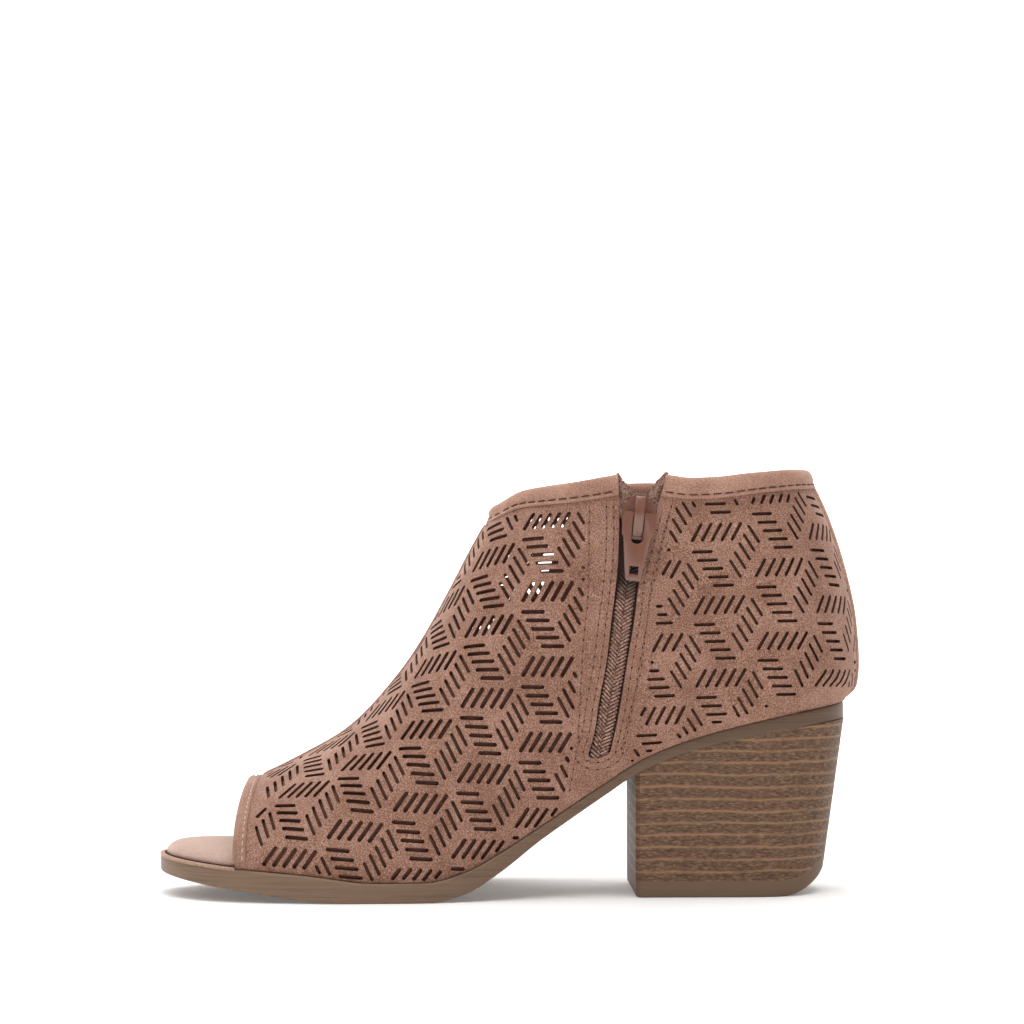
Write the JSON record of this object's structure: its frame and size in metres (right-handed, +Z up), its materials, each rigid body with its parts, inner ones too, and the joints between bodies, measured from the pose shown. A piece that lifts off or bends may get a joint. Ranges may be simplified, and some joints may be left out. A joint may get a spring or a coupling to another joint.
{
  "type": "peep toe ankle boot",
  "caption": "Women's peep toe ankle boot for the right foot, perforated suede-look upper with an inner side zip, on a stacked-look block heel.",
  "frame": {"origin": "on the floor under the middle of the boot's box", "axes": "+X from the toe to the heel, +Z up, -Y the inner (medial) side with the zip"},
  "size_m": [0.2385, 0.086, 0.1436],
  "materials": {
    "outsole": "matte moulded brown",
    "heel": "printed stacked-leather look",
    "insole": "soft suede over foam",
    "upper": "brushed suede",
    "zip_tape": "woven",
    "zip_coil": "nylon",
    "zip_metal": "enamelled to match the upper"
  },
  "bodies": {
    "boot": {"outsole": "outsole", "heel_block": "heel", "heel_top_piece": "outsole", "insole": "insole", "upper": "upper", "collar_binding": "upper", "toe_binding": "upper", "back_stay": "upper", "zip_tape_front": "zip_tape", "zip_tape_rear": "zip_tape", "zip_coil": "zip_coil", "zip_slider": "zip_metal"},
    "pull": {"zip_pull": "zip_metal"}
  },
  "joints": [
    {"name": "pull_hinge", "type": "hinge", "parent": "boot", "child": "pull", "pos_m": [0.04313, -0.03255, 0.12872], "axis": [-0.9972, 0.0084, 0.0739], "range_deg": [0, 165]}
  ]
}
